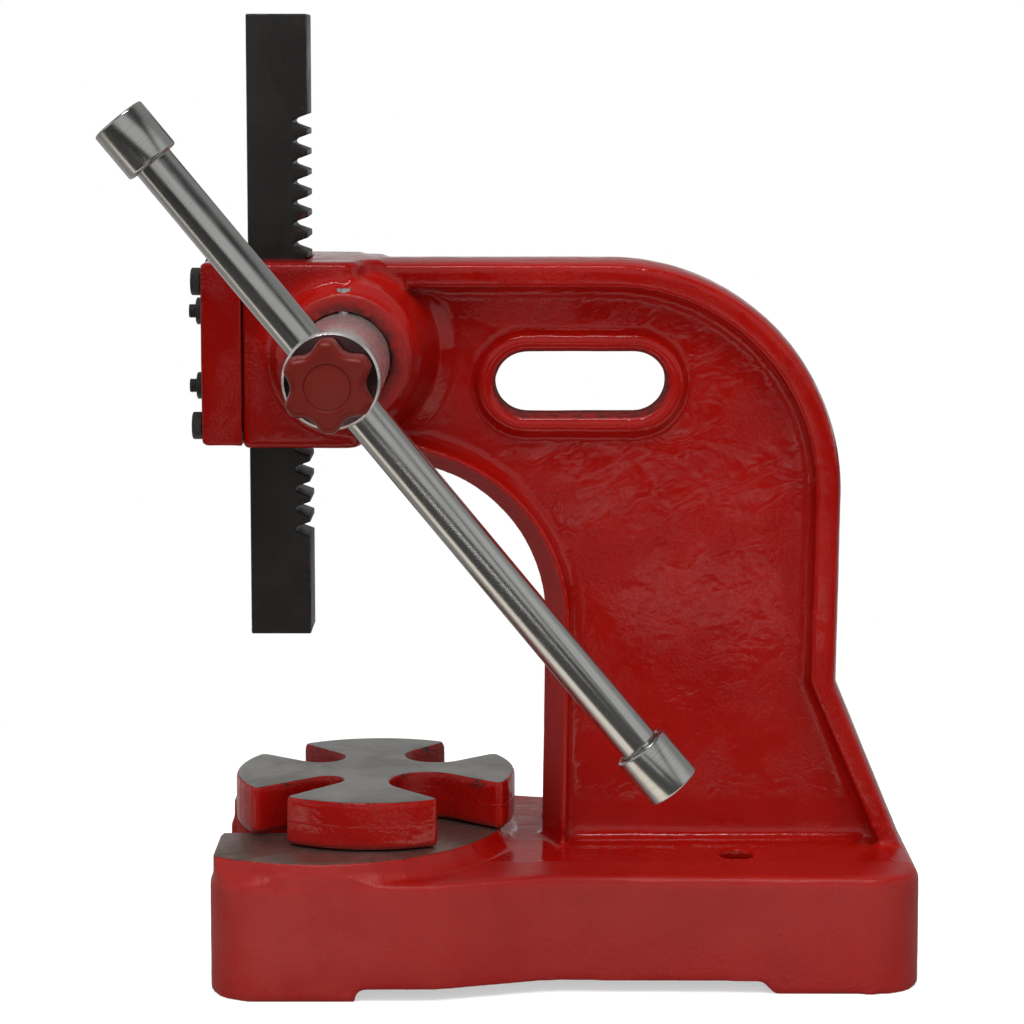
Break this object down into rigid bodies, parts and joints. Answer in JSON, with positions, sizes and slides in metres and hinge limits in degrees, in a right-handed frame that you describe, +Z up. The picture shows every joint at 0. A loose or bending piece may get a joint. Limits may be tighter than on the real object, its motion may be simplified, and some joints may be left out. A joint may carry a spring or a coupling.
{
  "type": "arbor press",
  "caption": "Bench arbor press: a hand bar turns a pinion that drives a toothed ram down onto a slotted, turning table plate in a deep cast frame.",
  "frame": {"origin": "middle of the bottom of the box around the whole press, level with the undersides of its feet", "axes": "+X from the ram to the column, +Y away from the handle, +Z up along the ram"},
  "size_m": [0.3284, 0.231, 0.4008],
  "materials": {
    "red_enamel": "gloss",
    "black_oxide": "satin",
    "ground_steel": "ground",
    "polished_steel": "polished",
    "machined_iron": "machined",
    "knob_plastic": "satin"
  },
  "bodies": {
    "frame": {"frame_casting": "red_enamel", "pinion_set_screw": "ground_steel", "cover_plate": "red_enamel", "gib_strip": "ground_steel", "cover_bolt_near_upper": "black_oxide", "cover_bolt_near_lower": "black_oxide", "cover_bolt_far_upper": "black_oxide", "cover_bolt_far_lower": "black_oxide", "gib_screw_upper": "black_oxide", "gib_screw_lower": "black_oxide", "gib_nut_upper": "black_oxide", "gib_nut_lower": "black_oxide", "table_pivot_pin": "ground_steel"},
    "ram": {"ram": "black_oxide"},
    "pinion": {"pinion_shaft": "ground_steel"},
    "handle": {"handle_bar": "polished_steel", "handle_cap_upper": "polished_steel", "handle_cap_lower": "polished_steel"},
    "knob": {"clamp_knob": "knob_plastic", "knob_cap": "knob_plastic", "knob_stud": "ground_steel"},
    "table": {"table_plate": "machined_iron"}
  },
  "joints": [
    {"name": "pinion_turn", "type": "hinge", "parent": "frame", "child": "pinion", "pos_m": [-0.07371, 0.0345, 0.2595], "axis": [0, 1, 0], "range_deg": [-181, 193]},
    {"name": "ram_slide", "type": "slide", "parent": "frame", "child": "ram", "axis": [0, 0, 1], "range_m": [-0.0606, 0.0648]},
    {"name": "handle_slide", "type": "slide", "parent": "pinion", "child": "handle", "axis": [0.6347, 0, -0.7727], "range_m": [-0.1675, 0.0875]},
    {"name": "knob_turn", "type": "hinge", "parent": "pinion", "child": "knob", "pos_m": [-0.07371, -0.079, 0.2595], "axis": [0, -1, 0], "range_deg": [0, 360]},
    {"name": "table_turn", "type": "hinge", "parent": "frame", "child": "table", "pos_m": [-0.06364, 0.0345, 0.057], "axis": [0, 0, 1], "continuous": true}
  ],
  "couplings": [
    {"joint": "ram_slide", "follows": "pinion_turn", "m_per_rad": 0.019162}
  ]
}
